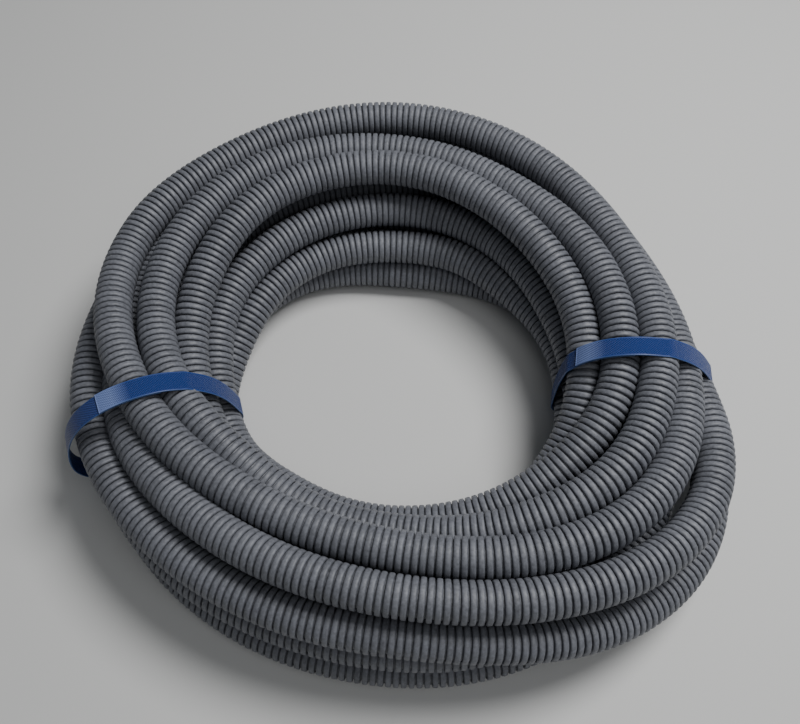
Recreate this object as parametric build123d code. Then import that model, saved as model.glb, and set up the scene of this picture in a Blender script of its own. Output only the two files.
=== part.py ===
"""A coil of corrugated plastic conduit, tied by two flat plastic straps.

The coil lies flat on the floor with its axis along +Z. Its turns are stacked in rows that nest
like cannon balls, so the coil is one turned solid: the nested turns in section, carried once
round the axis, with an open bore. Each strap is a flat band pulled tight round the bundle of
turns, with its two ends lapped and welded on top. The fine ribs of the conduit are surface
relief and aren't cut here.

Millimetres. The origin is on the floor, on the axis of the coil.
"""
from build123d import *
import math
import os

# Conduit
conduit_diameter = 20.0
bore_diameter = 162.0

# A turn's lobe is a many-sided round, so that the long turned faces stay plain cones.
lobe_sides = 8

# Turns, from the bottom row to the top row. The inset is the gap that nesting leaves at the
# inner side of a row, as a share of the conduit's diameter.
turns_in_rows = (4, 5, 4, 3)
row_inset_shares = (0.5, 0.0, 0.5, 1.0)
row_rise = 18.9

# Straps
strap_width = 11.0
strap_thickness = 0.8
strap_clearance = 0.4
lap_length = 28.0
strap_left_angle = 199.0
strap_right_angle = 351.0

conduit_radius = conduit_diameter / 2
coil_lift = strap_thickness + strap_clearance
turn_count = sum(turns_in_rows)


def turn_seats():
    """Radius and height of the centre of every turn, one list for each row."""
    rows = []
    for row, (count, inset_share) in enumerate(zip(turns_in_rows, row_inset_shares)):
        first = bore_diameter / 2 + conduit_radius + inset_share * conduit_diameter
        height = coil_lift + conduit_radius + row * row_rise
        rows.append([(first + column * conduit_diameter, height) for column in range(count)])
    return rows


def outline_seats(rows):
    """The seats on the outside of the bundle, in order round it."""
    inner_side = [row[0] for row in rows[1:-1]]
    outer_side = [row[-1] for row in rows[1:-1]]
    return rows[0] + outer_side + rows[-1][::-1] + inner_side[::-1]


def bundle_section(outline):
    """Section of the bundle: a round lobe for each outer turn, on a filled middle."""
    middle = Polygon(*outline, align=None)
    lobe = RegularPolygon(conduit_radius, lobe_sides)
    return middle + [Pos(radius, height) * lobe for radius, height in outline]


def make_coil(outline):
    """The whole coil, turned once round the axis."""
    section = Plane.XZ * bundle_section(outline)
    return revolve(section, axis=Axis.Z, revolution_arc=360)


def tight_outline(outline, margin):
    """Face inside a cord pulled tight round the bundle, a margin away from its turns."""
    middle = make_hull(Polygon(*outline, align=None).edges())
    return offset(middle, amount=conduit_radius + margin, kind=Kind.ARC)


def make_strap(outline, rows, angle):
    """A flat band round the bundle, with its welded lap on the top run."""
    outer = tight_outline(outline, strap_clearance + strap_thickness)
    inner = tight_outline(outline, strap_clearance)
    band = extrude(Plane.XZ * (outer - inner), amount=strap_width / 2, both=True)
    top_inner_radius, top_height = rows[-1][0]
    lap_bottom = top_height + conduit_radius + strap_clearance + strap_thickness / 2
    lap = Pos(top_inner_radius + lap_length / 2, 0, lap_bottom) * Box(
        lap_length,
        strap_width,
        strap_thickness * 3 / 2,
        align=(Align.CENTER, Align.CENTER, Align.MIN),
    )
    return Rot(0, 0, angle) * (band + lap)


def main():
    rows = turn_seats()
    outline = outline_seats(rows)
    nodes = {
        "conduit_coil": make_coil(outline),
        "strap_left": make_strap(outline, rows, strap_left_angle),
        "strap_right": make_strap(outline, rows, strap_right_angle),
    }

    wound_length = sum(2 * math.pi * radius for row in rows for radius, _ in row)
    print(f"{turn_count} turns, {wound_length / 1000:.2f} m of conduit")

    os.makedirs("parts", exist_ok=True)
    for name, shape in nodes.items():
        export_step(shape, f"parts/{name}.step")


main()
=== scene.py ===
"""A coil of grey corrugated flexible conduit, tied with two blue straps, on a pale floor.

The conduit is one line: the listed seats are joined, settled so that no two turns share a place,
and drawn as a NURBS line. A hollow tube follows that line, and a rib stands on it every few
millimetres. Each strap is a band round the section of the turns that it crosses, shaped by guide
points where it stands off them.
"""

import math

import bpy
import numpy as np
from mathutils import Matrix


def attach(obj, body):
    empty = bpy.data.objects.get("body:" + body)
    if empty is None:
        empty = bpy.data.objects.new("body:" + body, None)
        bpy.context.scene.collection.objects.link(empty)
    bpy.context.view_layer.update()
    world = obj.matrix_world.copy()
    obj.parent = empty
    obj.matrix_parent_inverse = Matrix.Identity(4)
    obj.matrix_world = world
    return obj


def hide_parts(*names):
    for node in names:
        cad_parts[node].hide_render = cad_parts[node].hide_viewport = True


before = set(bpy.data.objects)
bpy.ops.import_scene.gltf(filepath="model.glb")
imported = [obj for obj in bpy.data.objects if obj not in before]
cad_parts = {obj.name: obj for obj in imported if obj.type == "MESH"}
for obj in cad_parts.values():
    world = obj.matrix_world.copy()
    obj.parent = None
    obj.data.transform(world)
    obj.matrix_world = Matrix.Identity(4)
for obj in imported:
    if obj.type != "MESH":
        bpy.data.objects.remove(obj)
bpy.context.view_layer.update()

MM = 0.001

# Sizes, in mm, and counts
CONDUIT_D = 20.0            # outside diameter over the ribs
TOUCH_D = 19.3              # how close two turns lie, with their ribs a little into each other
RIB_PITCH = 3.65            # between the middles of two ribs
GROOVE_R = 8.3              # the tube between the ribs
BORE_R = 7.1                # inside the tube
SIDES = 16                  # of every ring round the tube and the ribs
RING_STEP = 7.5             # between the rings of the tube
RIB_PROFILE = ((-1.52, 8.1), (-1.42, 9.3), (-1.15, 9.83), (-0.5, 9.98),
               (0.5, 9.98), (1.15, 9.83), (1.42, 9.3), (1.52, 8.1))
RIB_PIECES = 4
RIB_TONE = 0.56             # the ribs' place on the tone ramp, and how much they differ
RIB_TONE_SPREAD = 0.05
GROOVE_SHADE_TONE = 0.28          # the plastic between the ribs, as a part of the tone ramp: painted shade, darker than the ribs
GRAIN_TONE = 1.1            # how much the fine grain lightens and darkens the plastic
STRAP_W = 10.8
STRAP_T = 0.7
STRAP_EDGE = 0.12           # how much the strap's corners are cut off
STRAP_GAP = 0.3             # between the ribs and the strap
STRAP_LAP = 30.0            # how far the end lies over the start
LAP_GAP = 0.05              # between the two layers there
STRAP_STEPS = 460
RUN_STEP = 1.5              # each way along the strap, to find its direction
STRAP_RISE = 20.0           # how soon the lapping end climbs over the start
WELD_AND_HIGHLIGHT = 16.0                 # the welded end of the band, with its flattened relief and a painted highlight that fades out
WEAVE_ALONG = 1.35          # the woven relief's repeat along the strap and across it
WEAVE_ACROSS = 1.1
STRAP_MARGIN = 0.8          # plain, without relief, at each edge
STRAP_RIM = 0.45            # the paler edge: a painted highlight along each edge
BAND_POINTS = 480
BAND_ROUNDS = 6             # how often a band is smoothed and moved off the turns
CIRCLE_POINTS = 90
BAND_MID_R = 140.0          # where a band has the angle that it is given
BAND_MID_Z = 40.0
CROSSING_ROUNDS = 4         # back and forth between a turn's place and the band's angle
FLOOR_GAP = 1.2             # the strap passes under the coil, so the turns lie this far up

# The camera
cam_data = bpy.data.cameras.new("photo_camera")
cam_data.lens, cam_data.sensor_width = 38.25, 36.0
camera = bpy.data.objects.new("photo_camera", cam_data)
camera.location = (-0.0013, -0.2374, 0.4484)
camera.rotation_euler = (math.radians(30.0), 0.0, 0.0)
bpy.context.scene.collection.objects.link(camera)
bpy.context.scene.camera = camera

# The seats of each turn
# One list a turn, from the first turn at the bottom to the last one outside. Each seat is an
# angle round the coil in degrees, a radius and a height, in mm.
SEATS = (
    ((-9, 131, 11), (15, 123, 11), (45, 112, 11), (90, 103, 11), (145, 118, 28), (199, 125, 31),
     (235, 126, 40), (270, 128, 50), (312, 131, 50)),
    ((-9, 130, 48), (40, 124, 50), (90, 123, 50), (145, 134, 42), (199, 144, 30), (235, 136, 30),
     (270, 133, 30), (300, 138, 31), (315, 138, 31), (340, 128, 30)),
    ((-9, 124, 29), (40, 112, 30), (90, 112, 29), (145, 141, 26), (199, 162, 11), (220, 157, 11),
     (235, 154, 11), (262, 157, 11), (285, 160, 11), (312, 160, 11)),
    ((-9, 149, 11), (40, 134, 11), (90, 128, 11), (145, 127, 11), (172, 137, 11),
     (185, 144, 11), (199, 146, 11), (270, 137, 11), (300, 134, 11), (327, 126, 11)),
    ((-9, 113, 11), (10, 105, 11), (25, 100, 11), (45, 92, 11), (56, 87, 11), (70, 82, 12),
     (90, 80, 12), (132, 100, 12), (151, 106.5, 11), (172, 117, 11), (185, 125, 11), (199, 126, 11),
     (270, 117, 11), (300, 113, 11), (315, 109, 11), (327, 105, 12), (340, 101.5, 15)),
    ((-9, 99, 20), (0, 98, 22), (10, 95, 24), (20, 93, 26), (32, 89, 28), (45, 86.5, 30),
     (70, 85.5, 30), (90, 85.5, 30), (134, 95, 30), (156, 97, 29), (168, 99, 24), (178, 105, 17),
     (188, 108.5, 13), (199, 106.5, 12), (235, 101, 12), (270, 97, 13), (300, 100, 23),
     (314, 102, 31), (325, 102.5, 40), (333, 102, 48), (341, 101, 54)),
    ((-9, 98, 60), (10, 97, 63), (33, 95, 70), (48, 96, 73), (69, 102, 74), (90, 110, 74),
     (111, 115, 73), (131, 119, 72), (146, 118, 70), (160, 116, 65), (176, 115, 58),
     (188, 114, 54), (203, 110, 49), (212, 109, 44), (235, 112, 36), (270, 113, 34),
     (300, 119, 31), (315, 119.5, 29), (327, 115, 28), (340, 104, 34)),
    ((-9, 96.5, 42), (3, 95, 42), (12, 92, 42), (40, 92, 42), (73, 100, 45), (90, 102, 46),
     (107, 103, 47), (125, 105, 47), (145, 107, 45), (164, 108, 40), (178, 105, 36), (190, 102, 32),
     (203, 103.5, 30), (211, 107, 31), (223, 105.5, 33), (235, 100, 34), (246, 96, 34),
     (258, 94.5, 34), (270, 93.5, 34), (293, 98, 40), (304, 101.5, 45), (315, 104, 50),
     (327, 109, 58), (338, 113, 65)),
    ((-9, 114, 70), (18, 114, 72), (38, 113, 72), (54, 114, 70), (70, 119, 69), (90, 127.5, 68),
     (110, 135, 69), (131, 140.5, 70), (146, 140.5, 70), (161, 136.5, 69), (171, 134, 69),
     (181, 129, 68), (191, 123, 68), (200, 118, 67), (211, 112, 61), (221, 107, 55),
     (232, 104.5, 52), (248, 103, 51), (270, 104, 52), (286, 111, 56), (300, 119, 62),
     (312, 125, 67), (323, 131, 71), (336, 132, 73)),
    ((-9, 131.5, 72), (19, 132, 70), (35, 136.5, 67), (50, 144, 65), (70, 153.5, 64),
     (90, 160.5, 64), (110, 162.5, 64), (130, 163, 64), (145, 164, 64), (160, 163, 65),
     (170, 157.5, 67), (181, 150.5, 69), (192, 142.5, 70.5), (201, 136, 71), (212, 127.5, 70.5),
     (221, 122, 70), (231, 118, 69), (250, 115, 68), (270, 117.5, 68), (285, 126, 70),
     (299, 136, 72), (311, 145, 72), (324, 151, 69), (338, 150, 64)),
    ((-9, 147.5, 61), (2, 145.5, 56), (13, 143.5, 53), (40, 149, 49), (90, 160, 44), (145, 160, 44),
     (175, 151, 53), (189, 150, 58), (197, 151, 58), (209, 145.5, 60), (220, 140.5, 63),
     (230, 138, 66), (250, 136, 70), (270, 139.5, 72), (285, 147, 72), (299, 157, 70),
     (312, 167, 66), (326, 174, 58), (341, 171.5, 50)),
    ((-6, 155, 43), (5, 152, 38), (15, 151, 34), (28, 152, 32), (40, 159, 30), (90, 166, 26),
     (145, 166, 30), (165, 160.5, 44), (176, 163.5, 48), (187, 169.5, 49), (196, 166.5, 49),
     (207, 162.5, 50), (217, 160, 50), (233, 154, 50), (249, 151.5, 51), (270, 152, 52),
     (286, 159.5, 48), (303, 172, 38), (317, 181.5, 30), (328, 184, 26), (337, 179.5, 21)),
    ((-9, 164, 24), (12, 163, 17), (40, 158, 12), (90, 150, 11), (145, 156, 13),
     (175, 165, 26), (199, 165, 30), (219, 158.5, 30), (236, 155, 30), (270, 154, 31),
     (281, 157, 31), (312, 158, 31)),
    ((-9, 142, 29), (15, 133, 29), (40, 138, 31), (90, 142, 31), (145, 150, 31),
     (165, 161, 22), (176, 166, 14)),
)
SECTIONS_PER_TURN = 36
SETTLE_ROUNDS = 400
SETTLE_STIFFNESS = 0.08
SETTLE_PULL = 0.06
SETTLE_SHARE = 0.45         # of an overlap that each of the two turns gives way


def hermite(x, u, v):
    """A smooth line through the values v at u. Between two seats it is the cubic whose ends have
    the slopes there, and the slope at a seat is the mean of the slopes on its two sides, each
    weighted by the other side's length."""
    d = np.diff(v) / np.diff(u)
    slope = np.empty_like(v)
    slope[0], slope[-1] = d[0], d[-1]
    before, after = np.diff(u)[:-1], np.diff(u)[1:]
    slope[1:-1] = (d[:-1] * after + d[1:] * before) / (before + after)
    i = np.clip(np.searchsorted(u, x, side="right") - 1, 0, len(u) - 2)
    h = u[i + 1] - u[i]
    t = (x - u[i]) / h
    return ((2 * t**3 - 3 * t**2 + 1) * v[i] + (t**3 - 2 * t**2 + t) * h * slope[i]
            + (3 * t**2 - 2 * t**3) * v[i + 1] + (t**3 - t**2) * h * slope[i + 1])


def settle(seats):
    """The turns as radius and height at even steps of angle, settled so that they lie beside each
    other. Each round, at every step of angle, turns closer than one diameter push each other
    apart along the line between them, the line is straightened a little, it is pulled a little
    towards its seats, and nothing goes below the floor."""
    u = np.array([a + 360.0 * k for k, turn in enumerate(seats) for a, r, h in turn])
    v = np.array([(r, h) for turn in seats for a, r, h in turn], float)
    turns, step = len(seats), 360.0 / SECTIONS_PER_TURN
    n = int(round((u[-1] - u[0]) / step)) + 1
    angle = u[0] + np.arange(n) * step
    line = np.stack([hermite(angle, u, v[:, 0]), hermite(angle, u, v[:, 1])], 1)
    target = line.copy()
    own = np.arange(turns)
    for _ in range(SETTLE_ROUNDS):
        grid = np.full((turns * SECTIONS_PER_TURN, 2), np.nan)
        grid[:n] = line
        grid = grid.reshape(turns, SECTIONS_PER_TURN, 2)
        gap = grid[:, None] - grid[None]
        apart = np.sqrt((gap**2).sum(-1)) + 1e-9
        over = np.nan_to_num(np.clip(TOUCH_D - apart, 0, None))
        over[own, own] = 0
        push = (np.nan_to_num(gap / apart[..., None]) * over[..., None]).sum(1)
        line = line + SETTLE_SHARE * push.reshape(-1, 2)[:n]
        bend = np.zeros_like(line)
        bend[1:-1] = 0.5 * (line[:-2] + line[2:]) - line[1:-1]
        smooth = bend.copy()
        smooth[1:-1] -= 0.5 * (bend[:-2] + bend[2:])
        line = line + SETTLE_STIFFNESS * smooth
        line = line + SETTLE_PULL * (target - line)
        line[:, 1] = np.maximum(line[:, 1], CONDUIT_D / 2 + FLOOR_GAP)
    return angle, line


def centreline(angle, line):
    """A NURBS line of order 3 through the settled turns, as evenly spaced points in mm. Its
    control points stand further out by one over the cosine of half a step, because a line of
    this order cuts the corners of its control points."""
    out = 1.0 / math.cos(math.radians(180.0 / SECTIONS_PER_TURN))
    a = np.radians(angle)
    points = np.stack([out * line[:, 0] * np.cos(a), out * line[:, 0] * np.sin(a), line[:, 1]], 1)
    data = bpy.data.curves.new("conduit_line", "CURVE")
    data.dimensions = "3D"
    spline = data.splines.new("NURBS")
    spline.points.add(len(points) - 1)
    spline.points.foreach_set("co", np.c_[points * MM, np.ones(len(points))].ravel())
    spline.order_u = 3
    spline.use_endpoint_u = True
    spline.resolution_u = 12
    holder = bpy.data.objects.new("conduit_line", data)
    bpy.context.scene.collection.objects.link(holder)
    bpy.context.view_layer.update()
    mesh = bpy.data.meshes.new_from_object(holder.evaluated_get(bpy.context.evaluated_depsgraph_get()))
    drawn = np.empty(3 * len(mesh.vertices))
    mesh.vertices.foreach_get("co", drawn)
    bpy.data.objects.remove(holder)
    return drawn.reshape(-1, 3) / MM


def lengths(points):
    """How far along the line each point is, in mm."""
    return np.r_[0.0, np.cumsum(np.linalg.norm(np.diff(points, axis=0), axis=1))]


def along(points, at):
    """Points of the line at the given lengths, with the direction of the line there, a level
    direction away from the middle of the coil, and the third one square to both."""
    s = lengths(points)
    place = np.stack([np.interp(at, s, points[:, i]) for i in range(3)], 1)
    tangent = np.gradient(points, s, axis=0)
    t = np.stack([np.interp(at, s, tangent[:, i]) for i in range(3)], 1)
    t /= np.linalg.norm(t, axis=1, keepdims=True)
    side = np.cross(t, (0.0, 0.0, 1.0))
    side /= np.linalg.norm(side, axis=1, keepdims=True)
    return place, t, side, np.cross(side, t)


def ring_points(place, t, side, up, profile, sides=SIDES):
    """Rings round the line: one ring for each place and each (offset, radius) of the profile."""
    turn = 2 * np.pi * np.arange(sides) / sides
    offset, radius = np.asarray(profile, float).T
    spoke = side[:, None] * np.cos(turn)[None, :, None] + up[:, None] * np.sin(turn)[None, :, None]
    return (place[:, None, None] + t[:, None, None] * offset[None, :, None, None]
            + spoke[:, None] * radius[None, :, None, None])


def grid_faces(first, second):
    """Four-sided faces between two rows of rings, given as arrays of vertex numbers."""
    return np.stack([first, np.roll(first, -1, -1), np.roll(second, -1, -1), second], -1).reshape(-1, 4)


def mesh_object(name, verts, faces, material, marks=None):
    """A smooth mesh of four-sided faces, from vertices in mm. Marks are values for each vertex
    that the material reads by name."""
    mesh = bpy.data.meshes.new(name)
    mesh.vertices.add(len(verts))
    mesh.vertices.foreach_set("co", (np.asarray(verts) * MM).astype(np.float32).ravel())
    mesh.loops.add(4 * len(faces))
    mesh.loops.foreach_set("vertex_index", np.asarray(faces, np.int32).ravel())
    mesh.polygons.add(len(faces))
    mesh.polygons.foreach_set("loop_start", np.arange(0, 4 * len(faces), 4, dtype=np.int32))
    mesh.polygons.foreach_set("use_smooth", np.ones(len(faces), bool))
    for mark, values in (marks or {}).items():
        mesh.attributes.new(mark, "FLOAT", "POINT").data.foreach_set("value", values.astype(np.float32))
    mesh.update(calc_edges=True)
    mesh.materials.append(material)
    obj = bpy.data.objects.new(name, mesh)
    bpy.context.scene.collection.objects.link(obj)
    return obj


# Materials
def new_material(name):
    """An empty node material, with its node tree and its shader."""
    material = bpy.data.materials.new(name)
    material.use_nodes = True
    tree = material.node_tree
    return material, tree, tree.nodes["Principled BSDF"]


def math_node(tree, operation, *values):
    """A math node whose inputs are numbers or other nodes' outputs."""
    node = tree.nodes.new("ShaderNodeMath")
    node.operation = operation
    for i, value in enumerate(values):
        if isinstance(value, (int, float)):
            node.inputs[i].default_value = value
        else:
            tree.links.new(value, node.inputs[i])
    return node.outputs[0]


def conduit_material():
    """Cool grey plastic with a satin sheen. Slow noise changes its colour and its sheen a little,
    fine grain mottles it, and each rib has a colour of its own, read from the mark made for it.
    The same mark sets the tube between the ribs lower on the ramp: painted shade in the grooves."""
    material, tree, shader = new_material("conduit")
    nodes, links = tree.nodes, tree.links
    coords = nodes.new("ShaderNodeTexCoord")
    cloud = nodes.new("ShaderNodeTexNoise")
    cloud.inputs["Scale"].default_value = 14.0
    cloud.inputs["Detail"].default_value = 4.0
    links.new(coords.outputs["Object"], cloud.inputs["Vector"])
    # The mark gives each rib its own colour, and sets the tube between the ribs darker: painted shade
    # in the grooves.
    tone_and_groove_shade = nodes.new("ShaderNodeAttribute")
    tone_and_groove_shade.attribute_name = "tone_and_groove_shade"
    clouded = nodes.new("ShaderNodeMath")
    clouded.operation = "MULTIPLY_ADD"
    clouded.inputs[1].default_value = 0.35
    links.new(cloud.outputs["Fac"], clouded.inputs[0])
    links.new(tone_and_groove_shade.outputs["Fac"], clouded.inputs[2])
    grain = nodes.new("ShaderNodeTexNoise")
    grain.inputs["Scale"].default_value = 620.0
    grain.inputs["Detail"].default_value = 3.0
    grain.inputs["Roughness"].default_value = 0.6
    links.new(coords.outputs["Object"], grain.inputs["Vector"])
    speckle = math_node(tree, "MULTIPLY_ADD", grain.outputs["Fac"], GRAIN_TONE, -0.5 * GRAIN_TONE)
    mottled = math_node(tree, "ADD", clouded.outputs[0], speckle)
    bump = nodes.new("ShaderNodeBump")
    bump.inputs["Strength"].default_value = 0.5
    bump.inputs["Distance"].default_value = 0.00012
    links.new(grain.outputs["Fac"], bump.inputs["Height"])
    links.new(bump.outputs["Normal"], shader.inputs["Normal"])
    ramp = nodes.new("ShaderNodeValToRGB")
    ramp.color_ramp.elements[0].color = (0.018, 0.019, 0.024, 1)
    ramp.color_ramp.elements[1].color = (0.186, 0.194, 0.221, 1)
    links.new(mottled, ramp.inputs["Fac"])
    links.new(ramp.outputs["Color"], shader.inputs["Base Color"])
    sheen = nodes.new("ShaderNodeMapRange")
    sheen.inputs["To Min"].default_value = 0.44
    sheen.inputs["To Max"].default_value = 0.58
    links.new(cloud.outputs["Fac"], sheen.inputs["Value"])
    links.new(sheen.outputs["Result"], shader.inputs["Roughness"])
    shader.inputs["Specular IOR Level"].default_value = 0.5
    return material


def mark_node(tree, name):
    """The value of a mark that was made on the mesh."""
    node = tree.nodes.new("ShaderNodeAttribute")
    node.attribute_name = name
    return node.outputs["Fac"]


def strap_material():
    """Royal blue embossed strapping. The marks for the place along and across the band drive a
    woven relief: ridges along it and across it, with a plain margin at each edge. The colour follows
    the relief, as painted shade in its hollows and painted light on its ridges, and a thin paler edge
    is a painted highlight. Towards the end of the band the welded lap flattens the relief, and a
    paler patch that fades from the end is a painted highlight."""
    material, tree, shader = new_material("strap")
    nodes, links = tree.nodes, tree.links
    run, across, weld_and_highlight = (mark_node(tree, n) for n in ("run", "across", "weld_and_highlight"))
    rows = math_node(tree, "SINE", math_node(tree, "MULTIPLY", run, 2 * math.pi / WEAVE_ALONG))
    cols = math_node(tree, "SINE", math_node(tree, "MULTIPLY", across, 2 * math.pi / WEAVE_ACROSS))
    weave = math_node(tree, "MULTIPLY", rows, cols)
    from_middle = math_node(tree, "ABSOLUTE", across)
    plain = math_node(tree, "LESS_THAN", from_middle, STRAP_W / 2 - STRAP_MARGIN)
    flattened = math_node(tree, "MULTIPLY_ADD", weld_and_highlight, -0.6, 1.0)
    relief = math_node(tree, "MULTIPLY", math_node(tree, "MULTIPLY", weave, plain), flattened)
    bump = nodes.new("ShaderNodeBump")
    bump.inputs["Strength"].default_value = 0.9
    bump.inputs["Distance"].default_value = 0.0003
    links.new(relief, bump.inputs["Height"])
    links.new(bump.outputs["Normal"], shader.inputs["Normal"])
    # The colour follows the relief: painted shade in the weave's hollows, painted light on its ridges.
    ramp = nodes.new("ShaderNodeValToRGB")
    ramp.color_ramp.elements[0].color = (0.0060, 0.018, 0.105, 1)
    ramp.color_ramp.elements[1].color = (0.0290, 0.074, 0.290, 1)
    links.new(math_node(tree, "MULTIPLY_ADD", relief, 0.5, 0.5), ramp.inputs["Fac"])
    # A painted highlight along each edge of the strap: paler towards the edge.
    rim = nodes.new("ShaderNodeMapRange")
    rim.inputs["From Min"].default_value = STRAP_W / 2 - STRAP_RIM
    rim.inputs["From Max"].default_value = STRAP_W / 2
    links.new(from_middle, rim.inputs["Value"])
    pale = nodes.new("ShaderNodeMix")
    pale.data_type = "RGBA"
    pale.inputs["B"].default_value = (0.07, 0.13, 0.27, 1)
    links.new(math_node(tree, "MULTIPLY", rim.outputs["Result"], 0.75), pale.inputs["Factor"])
    links.new(ramp.outputs["Color"], pale.inputs["A"])
    # A painted highlight on the band's end, fading out from the end and broken by the relief.
    end_highlight = nodes.new("ShaderNodeMix")
    end_highlight.data_type = "RGBA"
    end_highlight.inputs["B"].default_value = (0.19, 0.26, 0.50, 1)
    spread = math_node(tree, "MINIMUM", math_node(tree, "MULTIPLY", weld_and_highlight, 1.9), 1.0)
    highlight_over_relief = math_node(tree, "MULTIPLY_ADD", relief, 0.25, 0.72)
    links.new(math_node(tree, "MULTIPLY", spread, highlight_over_relief), end_highlight.inputs["Factor"])
    links.new(pale.outputs["Result"], end_highlight.inputs["A"])
    links.new(end_highlight.outputs["Result"], shader.inputs["Base Color"])
    links.new(math_node(tree, "MULTIPLY_ADD", weld_and_highlight, 0.15, 0.40), shader.inputs["Roughness"])
    shader.inputs["Specular IOR Level"].default_value = 0.35
    return material


GREY, BLUE = conduit_material(), strap_material()

# The conduit
angle, line = settle(SEATS)
path = centreline(angle, line)
total = lengths(path)[-1]


def make_tube():
    """The hollow tube between the ribs: rings outside at even steps, an end face at each end, and
    the bore's rings inside."""
    rings = int(round(total / RING_STEP))
    place, t, side, up = along(path, np.linspace(0.0, total, rings + 1))
    outer = ring_points(place, t, side, up, ((0.0, GROOVE_R),))[:, 0]
    inner = ring_points(place, t, side, up, ((0.0, BORE_R),))[::-2, 0]
    if rings % 2:
        first = ring_points(place[:1], t[:1], side[:1], up[:1], ((0.0, BORE_R),))[:, 0]
        inner = np.concatenate([inner, first])
    rows = np.concatenate([outer, inner])
    numbers = np.arange(rows.shape[0] * SIDES).reshape(-1, SIDES)
    faces = grid_faces(numbers, np.roll(numbers, -1, 0))
    # The whole tube, its bore and ends too, sits lower on the ramp than the ribs: painted shade in the
    # grooves.
    tone_and_groove_shade = np.full(len(rows) * SIDES, GROOVE_SHADE_TONE)
    tube = mesh_object("conduit", rows.reshape(-1, 3), faces[:, ::-1], GREY, {"tone_and_groove_shade": tone_and_groove_shade})
    return tube, place


def make_ribs():
    """Closed ribs at the pitch along the line, in pieces of even length."""
    count = int(total / RIB_PITCH)
    at = (np.arange(count) + 0.5) * total / count
    profile = np.array(RIB_PROFILE)
    rng = np.random.default_rng(7)
    tones = RIB_TONE + RIB_TONE_SPREAD * rng.standard_normal(count)
    pieces = []
    for i, part in enumerate(np.array_split(np.arange(count), RIB_PIECES)):
        place, t, side, up = along(path, at[part])
        verts = ring_points(place, t, side, up, profile)
        numbers = np.arange(verts[..., 0].size).reshape(len(part), len(profile), SIDES)
        faces = grid_faces(numbers, np.roll(numbers, -1, 1))
        tone_and_groove_shade = np.repeat(tones[part], len(profile) * SIDES)
        pieces.append(mesh_object(f"conduit_ribs_{i + 1}", verts.reshape(-1, 3), faces[:, ::-1], GREY,
                                  {"tone_and_groove_shade": tone_and_groove_shade}))
    return pieces


tube, tube_path = make_tube()
ribs = make_ribs()
for piece in [tube, *ribs]:
    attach(piece, "root")
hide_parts("conduit_coil")


# The straps
def band_angle(r, h, way):
    """Angle round the coil where a band passes, in degrees. It is the band's own angle, plus its
    yaw for every 10 mm outwards and its lean for every 10 mm up."""
    middle, yaw, lean = way
    return middle + yaw * (r - BAND_MID_R) / 10 + lean * (h - BAND_MID_Z) / 10


def section(way):
    """Radius and height of every turn where it crosses a band's surface. Each crossing is found
    by going back and forth between the turn's place and the band's angle there."""
    around = 360.0 * np.arange(-1, len(SEATS) + 1)
    a = way[0] + around
    a = a[(a >= angle[0] + 2) & (a <= angle[-1] - 2)]
    around = a - way[0]
    for _ in range(CROSSING_ROUNDS):
        r, h = np.interp(a, angle, line[:, 0]), np.interp(a, angle, line[:, 1])
        a = np.clip(band_angle(r, h, way) + around, angle[0], angle[-1])
    return np.stack([r, h], 1)


def hull(points):
    """The corners of the tight outline round the points, in order against the clock."""
    points = sorted(map(tuple, points))

    def half(chain):
        kept = []
        for p in chain:
            while len(kept) > 1 and ((kept[-1][0] - kept[-2][0]) * (p[1] - kept[-2][1])
                                     - (kept[-1][1] - kept[-2][1]) * (p[0] - kept[-2][0])) <= 0:
                kept.pop()
            kept.append(p)
        return kept[:-1]

    return np.array(half(points) + half(points[::-1]))


def even_loop(loop, count):
    """The closed loop as a number of even points, with its length."""
    loop = np.vstack([loop, loop[:1]])
    s = lengths(loop)
    even = np.arange(count) * s[-1] / count
    return np.stack([np.interp(even, s, loop[:, i]) for i in range(2)], 1), s[-1]


def band_loop(turns, guides, rounding):
    """A stiff band round the turns. It is the tight outline round the turns and the guide points,
    with its corners rounded, and then moved off any turn that it would cut."""
    reach = CONDUIT_D / 2 + STRAP_GAP
    circle = 2 * np.pi * np.arange(CIRCLE_POINTS) / CIRCLE_POINTS
    rim = reach * np.stack([np.cos(circle), np.sin(circle)], -1)
    edge = (turns[:, None] + rim[None]).reshape(-1, 2)
    loop, _ = even_loop(hull(np.vstack([edge, np.reshape(guides, (-1, 2))])), BAND_POINTS)
    for _ in range(BAND_ROUNDS):
        for _ in range(rounding):
            loop = 0.5 * loop + 0.25 * (np.roll(loop, 1, 0) + np.roll(loop, -1, 0))
        away = loop[:, None] - turns[None]
        far = np.sqrt((away**2).sum(-1))
        near = far.argmin(1)
        cut = np.clip(reach - far.min(1), 0, None)
        loop = loop + away[np.arange(len(loop)), near] / far.min(1)[:, None] * cut[:, None]
        loop[:, 1] = np.maximum(loop[:, 1], FLOOR_GAP - STRAP_GAP)
    return even_loop(loop, BAND_POINTS)


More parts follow.
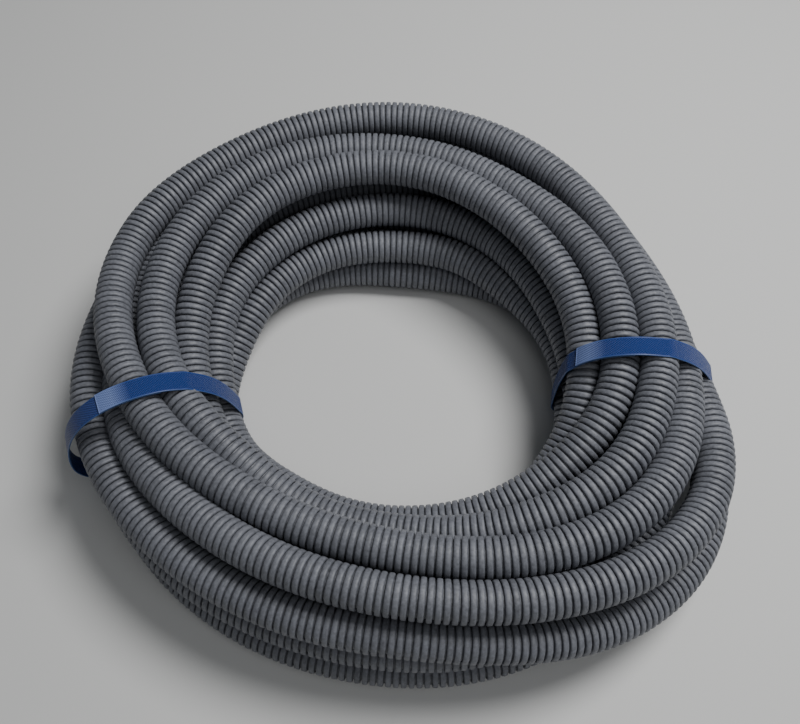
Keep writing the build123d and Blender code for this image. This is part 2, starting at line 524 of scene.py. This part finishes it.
def make_strap(name, way, end_at, turn_way, rounding, guides=()):
    """A flat band round the turns at one place. Its surface has the angle, yaw and lean given as
    its way, and its end laps over its beginning. The end lies near the place given, and the band
    comes to it against the clock or with it, seen with the bore on the left. At each step the
    band lies square to its own run and to the way out of the bundle."""
    loop, round_length = band_loop(section(way), guides, rounding)
    if turn_way < 0:
        loop = loop[::-1]
    loop = np.roll(loop, -int(np.argmin(((loop - np.array(end_at)) ** 2).sum(1))), 0)
    loop = np.vstack([loop, loop[:1]])
    grid = np.linspace(0, round_length, len(loop))

    def at(s):
        wrapped = np.mod(s, round_length)
        return np.stack([np.interp(wrapped, grid, loop[:, i]) for i in range(2)], 1)

    def in_space(flat):
        a = np.radians(band_angle(flat[:, 0], flat[:, 1], way))
        return np.stack([flat[:, 0] * np.cos(a), flat[:, 0] * np.sin(a), flat[:, 1]], 1), a

    s = np.linspace(-STRAP_LAP, round_length, STRAP_STEPS)
    middle, a = in_space(at(s))
    run = in_space(at(s + RUN_STEP))[0] - in_space(at(s - RUN_STEP))[0]
    run /= np.linalg.norm(run, axis=1, keepdims=True)
    step = turn_way * (at(s + RUN_STEP) - at(s - RUN_STEP))
    outward = np.stack([step[:, 1] * np.cos(a), step[:, 1] * np.sin(a), -step[:, 0]], 1)
    outward -= (outward * run).sum(1, keepdims=True) * run
    outward /= np.linalg.norm(outward, axis=1, keepdims=True)
    cross = np.cross(run, outward) * turn_way
    rise = np.clip((s - (round_length - STRAP_LAP - STRAP_RISE)) / STRAP_RISE, 0, 1)
    rise = rise * rise * (3 - 2 * rise) * (STRAP_T + LAP_GAP)
    half, edge = STRAP_W / 2, STRAP_EDGE
    inner = half - STRAP_RIM
    profile = np.array([(-half, edge), (-half + edge, 0.0), (-inner, 0.0), (-half / 2, 0.0),
                        (half / 2, 0.0), (inner, 0.0), (half - edge, 0.0), (half, edge),
                        (half, STRAP_T - edge), (half - edge, STRAP_T), (inner, STRAP_T),
                        (half / 2, STRAP_T), (-half / 2, STRAP_T), (-inner, STRAP_T),
                        (-half + edge, STRAP_T), (-half, STRAP_T - edge)])
    verts = (middle[:, None] + cross[:, None] * profile[None, :, :1]
             + outward[:, None] * (rise[:, None] + profile[None, :, 1])[..., None])
    numbers = np.arange(STRAP_STEPS * len(profile)).reshape(STRAP_STEPS, -1)
    faces = [grid_faces(numbers[:-1], numbers[1:])[:, ::-turn_way]]
    caps = len(profile) // 2
    for row, side in ((numbers[0], -turn_way), (numbers[-1], turn_way)):
        cap = np.array([(row[i], row[i + 1], row[-2 - i], row[-1 - i]) for i in range(caps - 1)])
        faces.append(cap[:, ::side])
    # The welded end: flatter relief, rougher finish and a painted highlight, fading out from the end.
    weld_and_highlight = np.clip(1.0 - (round_length - s) / WELD_AND_HIGHLIGHT, 0, 1)
    marks = {"run": np.repeat(s, len(profile)), "across": np.tile(profile[:, 0], STRAP_STEPS),
             "weld_and_highlight": np.repeat(weld_and_highlight, len(profile))}
    strap = mesh_object(name + "_band", verts.reshape(-1, 3), np.concatenate(faces), BLUE, marks)
    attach(strap, "root")
    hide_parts(name)
    return strap


make_strap("strap_left", (197.5, 0.35, 0.17), end_at=(156.0, 82.8), turn_way=-1, rounding=40,
           guides=((96.5, 50.5), (99.7, 58.8), (104.0, 66.2), (109.8, 73.0), (116.6, 78.4),
                   (124.8, 82.1), (134.5, 84.3), (145.4, 84.7), (153.7, 83.3), (162.0, 79.7),
                   (170.0, 73.4), (176.3, 64.0), (180.5, 52.4), (182.5, 42.0), (183.5, 30.0),
                   (173.5, 20.0)))
make_strap("strap_right", (-6.1, 0.65, -0.3), end_at=(91.2, 70.0), turn_way=1, rounding=40,
           guides=((86.0, 42.0), (87.3, 59.5), (92.4, 71.6), (101.0, 79.3), (110.5, 83.0),
                   (120.5, 84.2), (128.7, 83.8), (136.2, 82.0), (143.2, 78.3), (149.5, 73.1),
                   (155.6, 66.2), (161.6, 56.8), (167.0, 46.2), (171.3, 34.6), (175.6, 23.8)))

# Floor and light
floor_mesh = bpy.data.meshes.new("floor")
floor_mesh.from_pydata([(-12, -12, 0), (12, -12, 0), (12, 12, 0), (-12, 12, 0)], [], [(0, 1, 2, 3)])
floor = bpy.data.objects.new("floor", floor_mesh)
bpy.context.scene.collection.objects.link(floor)
floor_paint, _, floor_shader = new_material("floor")
floor_shader.inputs["Base Color"].default_value = (0.62, 0.62, 0.61, 1)
floor_shader.inputs["Roughness"].default_value = 0.7
floor_mesh.materials.append(floor_paint)


def area_light(name, place, target, size, power):
    """A round soft light that looks from its place at its target, in metres and watts."""
    data = bpy.data.lights.new(name, "AREA")
    data.shape, data.size, data.energy = "DISK", size, power
    lamp = bpy.data.objects.new(name, data)
    lamp.location = place
    gaze = np.array(target) - np.array(place)
    flat = math.hypot(gaze[0], gaze[1])
    lamp.rotation_euler = (math.atan2(flat, -gaze[2]), 0.0, math.atan2(-gaze[0], gaze[1]))
    bpy.context.scene.collection.objects.link(lamp)
    return lamp


area_light("key", (0.50, 0.26, 1.12), (0, 0, 0.04), 0.55, 14.5)
area_light("fill", (0.30, -0.55, 1.20), (0, 0, 0.04), 0.8, 2.6)
world = bpy.data.worlds.new("studio")
world.use_nodes = True
world.node_tree.nodes["Background"].inputs["Color"].default_value = (0.9, 0.95, 1.0, 1)
world.node_tree.nodes["Background"].inputs["Strength"].default_value = 0.12
bpy.context.scene.world = world
